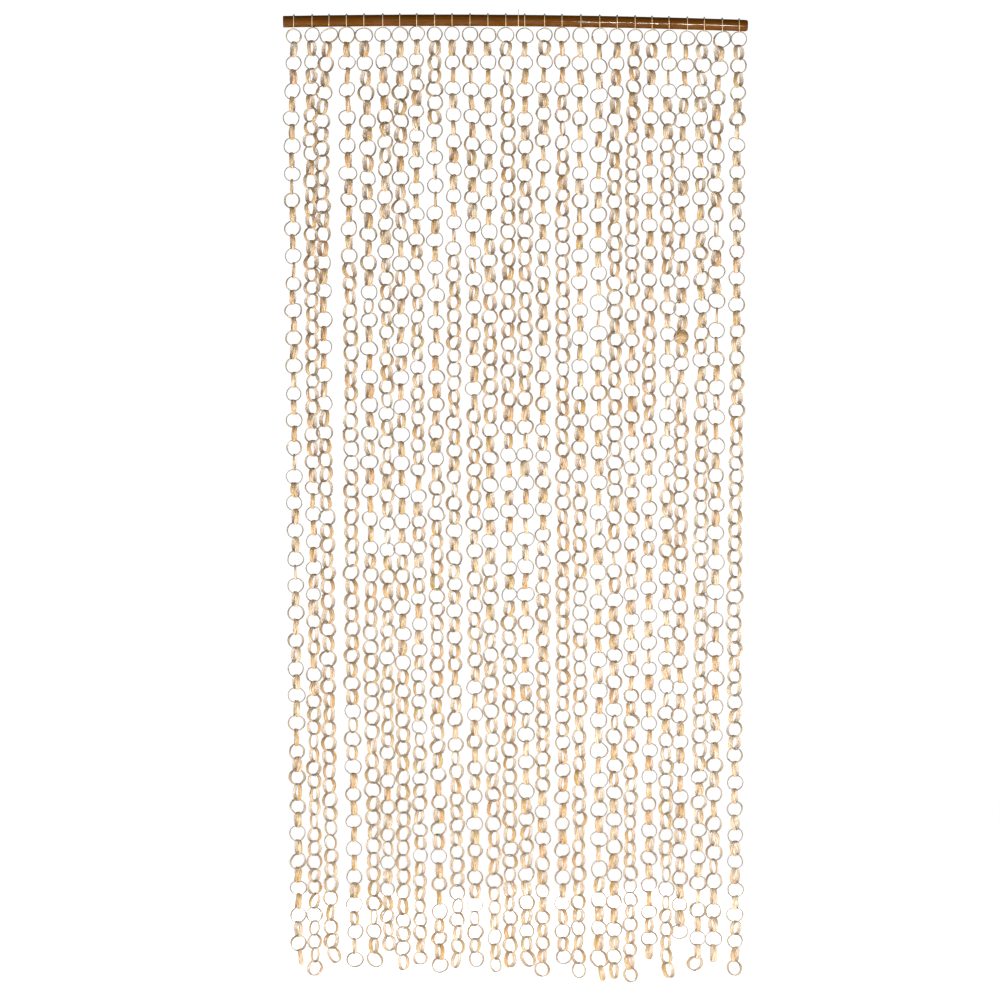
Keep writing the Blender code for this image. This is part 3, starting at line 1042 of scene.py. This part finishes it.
def build_hanger():
    low_corner, high_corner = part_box("hanger")
    x = (low_corner.x + high_corner.x) / 2
    wrap = pole_radius + HANGER_RADIUS + CLEAR
    under = round_pole(x, wrap, UNDER_ARC)
    crown = high_corner.z - HANGER_RADIUS
    peak = [(x, -0.9 * MM, crown), (x, 0.9 * MM, crown)]
    loop = spin_thread(np.concatenate([under, peak]), HANGER_RADIUS, RIGHTWARD, closed=True)
    rear = np.array([x, wrap, pole_height(x) - 2 * MM])
    knot = knot_runs(rear, HANGER_RADIUS, np.random.default_rng(90))
    mesh = thread_mesh("hanging_loop", loop, knot, knot_darkness=0.0)
    return place(mesh.name, mesh, thread, "thread", "hanger", crease=60)


hanger = build_hanger()
print("hanging loop:", len(hanger.data.polygons), "faces")

# %% [markdown]
# ## The knot in one chain
#
# In one chain a ball of wound fibre takes the place of a ring. It was wound like a ball of yarn:
# the strip goes round and round while the direction of winding slowly wanders. A sphere with bump
# would have a smooth outline, so the strip itself is wound, first a tight core and then the
# outside.

# %% Wind the ball
BALL_RADIUS = 15 * MM
BALL_STRIP = 3.4 * MM
BALL_STEPS = 22
STEP_LENGTH = 4 * MM
TILT_TURNS, SWING_TURNS = 1.5, 2.35
BUMPS_PER_TURN, BUMP_HEIGHT = 2.7, 0.035

# Turns, first and last radius in ball radii, and where the wandering starts: core, then outside.
BALL_LAYERS = ((16, 0.84, 0.9, 1.3), (30, 0.93, 1.02, 0.0))


def wound_ball(centre):
    runs = []
    for turns, low, high, drift in BALL_LAYERS:
        share = np.linspace(0, 1, turns * BALL_STEPS)
        spin = 2 * math.pi * turns * share
        tilt = 2 * math.pi * TILT_TURNS * share + drift
        swing = 2 * math.pi * SWING_TURNS * share + drift
        x, y = np.cos(spin), np.sin(spin)
        y, z = y * np.cos(tilt), y * np.sin(tilt)
        x, y = x * np.cos(swing) - y * np.sin(swing), x * np.sin(swing) + y * np.cos(swing)
        outward = np.stack([x, y, z], axis=1)
        bumps = BUMP_HEIGHT * np.sin(spin * BUMPS_PER_TURN)
        radius = BALL_RADIUS * (low + (high - low) * share + bumps)
        path = centre + outward * radius[:, None]
        runs.append(carry(path, outward, strip_outline(BALL_STRIP)))
    return runs


def build_ball():
    chain, (_, heights, _) = chains[KNOT_CHAIN - 1], built[KNOT_CHAIN - 1]
    centre = np.array([*chain.centres[KNOT_LINK, :2], heights[KNOT_LINK]])
    runs = wound_ball(centre)
    mesh = skin("wound_knot", runs)
    along = np.concatenate([np.repeat(np.arange(len(run)) * STEP_LENGTH, 4) for run in runs])
    across = np.tile([-0.5, 0.5, 0.5, -0.5], len(along) // 4) * STRIP_WIDTH
    note(mesh, "strip", np.stack([along, across, np.zeros(len(along))], axis=1))
    note(mesh, "depth", 0.95 + 0.05 * np.sin(along * 9.0))
    note(mesh, "warmth", 0.4 + 0.4 * np.sin(along * 5.3))
    return place(mesh.name, mesh, fibre, "fibre", f"strand_{KNOT_CHAIN:02d}")


ball = build_ball()
print("wound knot:", len(ball.data.polygons), "faces")

# %% [markdown]
# ## Floor, light and camera
#
# The curtain was photographed square on against pure white, with soft light from the front and
# from below: the pole is nearly black on top and amber underneath. Lamps alone could do it, but
# each would leave its own glare on the varnish. Here the floor glows a little, like a light
# table, and the white room is bright at its foot and dim overhead. Soft panels low in front, in
# front and behind light the fibre, and gloss doesn't show them, so they leave no glare. One more
# does the opposite: only gloss shows it, as the thin line of light along the varnish. The camera
# sees none of them. It stands far off with a long lens, so that the rings at the edge are seen as
# square as those in the middle.

# %% A plain pale floor
FLOOR_BELOW = 50 * MM
FLOOR_SIZE = 12.0
FLOOR_CORNERS = ((-1, -1), (1, -1), (1, 1), (-1, 1))
FLOOR_GLOW = 1.02


def build_floor():
    mesh = bpy.data.meshes.new("floor")
    corners = [(x * FLOOR_SIZE / 2, y * FLOOR_SIZE / 2, 0) for x, y in FLOOR_CORNERS]
    mesh.from_pydata(corners, [], [(0, 1, 2, 3)])
    floor = bpy.data.objects.new("floor", mesh)
    floor.location.z = cad_box[0].z - FLOOR_BELOW
    pale = (0.85, 0.85, 0.85, 1.0)
    material, _, _ = start_material(
        "pale_floor", base_color=pale, roughness=0.9,
        emission_color=pale, emission_strength=FLOOR_GLOW,
    )
    mesh.materials.append(material)
    bpy.context.scene.collection.objects.link(floor)


build_floor()

# %% A white room that lights from its foot
ROOM_SEEN, ROOM_FOOT, ROOM_OVERHEAD = 1.05, 0.9, 0.15


def build_room():
    world = bpy.data.worlds.new("white_room")
    world.use_nodes = True
    tree = world.node_tree
    shader = tree.nodes["Background"]
    split = add_node(tree, "ShaderNodeSeparateXYZ")
    tree.links.new(add_node(tree, "ShaderNodeTexCoord").outputs["Generated"], split.inputs[0])
    rise = add_node(
        tree, "ShaderNodeMapRange", interpolation_type="SMOOTHSTEP",
        from_min=-0.3, from_max=0.45, to_min=ROOM_FOOT, to_max=ROOM_OVERHEAD,
    )
    tree.links.new(split.outputs["Z"], rise.inputs["Value"])
    seen = add_node(tree, "ShaderNodeMapRange", to_max=ROOM_SEEN)
    to_camera = add_node(tree, "ShaderNodeLightPath").outputs["Is Camera Ray"]
    tree.links.new(to_camera, seen.inputs["Value"])
    tree.links.new(rise.outputs[0], seen.inputs["To Min"])
    tree.links.new(seen.outputs[0], shader.inputs["Strength"])
    shader.inputs["Color"].default_value = (1.0, 1.0, 1.0, 1.0)
    bpy.context.scene.world = world
    bpy.context.scene.view_settings.view_transform = "Standard"


build_room()

# %% Soft panels of light
def add_panel(name, place_at, aim, size, power, mirrored=False):
    light = bpy.data.lights.new(name, "AREA")
    light.shape = "RECTANGLE"
    light.size, light.size_y = size
    light.energy = power
    lamp = bpy.data.objects.new(name, light)
    lamp.location = place_at
    direction = aim - lamp.location
    lamp.rotation_euler = direction.to_track_quat("-Z", "Y").to_euler()
    lamp.visible_camera = False
    lamp.visible_glossy = mirrored
    lamp.visible_diffuse = not mirrored
    bpy.context.scene.collection.objects.link(lamp)


middle = (cad_box[0] + cad_box[1]) / 2
low = middle.copy()
low.z = cad_box[0].z * 0.8
add_panel("low_front", (0.0, -1.6, -1.85), low, (2.2, 0.7), 23)
add_panel("front", (0.46, -3.2, -1.5), middle, (0.6, 0.2), 34)
add_panel("varnish_line", (0.46, -3.2, -1.05), middle, (0.6, 0.2), 120, mirrored=True)
add_panel("behind", (-0.4, 2.6, -1.2), middle, (1.8, 1.6), 42)

# %% The camera
LENS = 150.0
SENSOR = 36.0
PICTURE_SPAN = 2.066
PICTURE_MIDDLE = (-0.0380, -1.0144)

camera_data = bpy.data.cameras.new("camera")
camera_data.lens = LENS
camera_data.sensor_width = SENSOR
camera = bpy.data.objects.new("camera", camera_data)
camera.location = (PICTURE_MIDDLE[0], -PICTURE_SPAN * LENS / SENSOR, PICTURE_MIDDLE[1])
camera.rotation_euler = (math.pi / 2, 0, 0)
bpy.context.scene.collection.objects.link(camera)
bpy.context.scene.camera = camera
print(f"the camera stands {-camera.location.y:.2f} m away")
